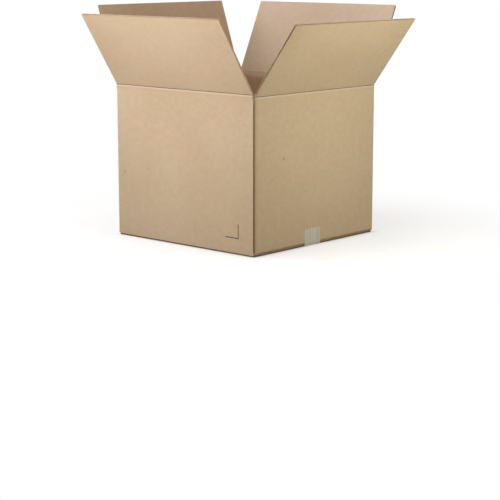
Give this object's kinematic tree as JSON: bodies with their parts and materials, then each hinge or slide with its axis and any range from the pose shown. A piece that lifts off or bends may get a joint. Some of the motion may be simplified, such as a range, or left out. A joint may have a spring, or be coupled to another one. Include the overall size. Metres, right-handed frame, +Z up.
{
  "type": "corrugated shipping box",
  "caption": "Open corrugated carton with a taped bottom seam, a glued corner joint and hinged top flaps of fluted board.",
  "frame": {"origin": "centre of the base, on the surface that the carton stands on", "axes": "+Z up; -Y is the front panel; +X is the side panel on the right; the bottom seam and its tape run along X"},
  "size_m": [0.5504, 0.5576, 0.4857],
  "materials": {
    "kraft_board": "uncoated kraft liner, matte",
    "packing_tape": "thin translucent film, satin"
  },
  "bodies": {
    "body": {"carton": "kraft_board", "bottom_tape": "packing_tape"},
    "flap_front": {"flap_front": "kraft_board"},
    "flap_right": {"flap_right": "kraft_board"},
    "flap_back": {"flap_back": "kraft_board"},
    "flap_left": {"flap_left": "kraft_board"}
  },
  "joints": [
    {"name": "flap_front_crease", "type": "hinge", "parent": "body", "child": "flap_front", "pos_m": [0, -0.1945, 0.32215], "axis": [1, 0, 0], "range_deg": [-122.9, 142.1]},
    {"name": "flap_right_crease", "type": "hinge", "parent": "body", "child": "flap_right", "pos_m": [0.1945, 0, 0.31785], "axis": [0, 1, 0], "range_deg": [-126.5, 138.5]},
    {"name": "flap_back_crease", "type": "hinge", "parent": "body", "child": "flap_back", "pos_m": [0, 0.1945, 0.32215], "axis": [-1, 0, 0], "range_deg": [-114.5, 150.5]},
    {"name": "flap_left_crease", "type": "hinge", "parent": "body", "child": "flap_left", "pos_m": [-0.1945, 0, 0.31785], "axis": [0, -1, 0], "range_deg": [-108.8, 156.2]}
  ]
}
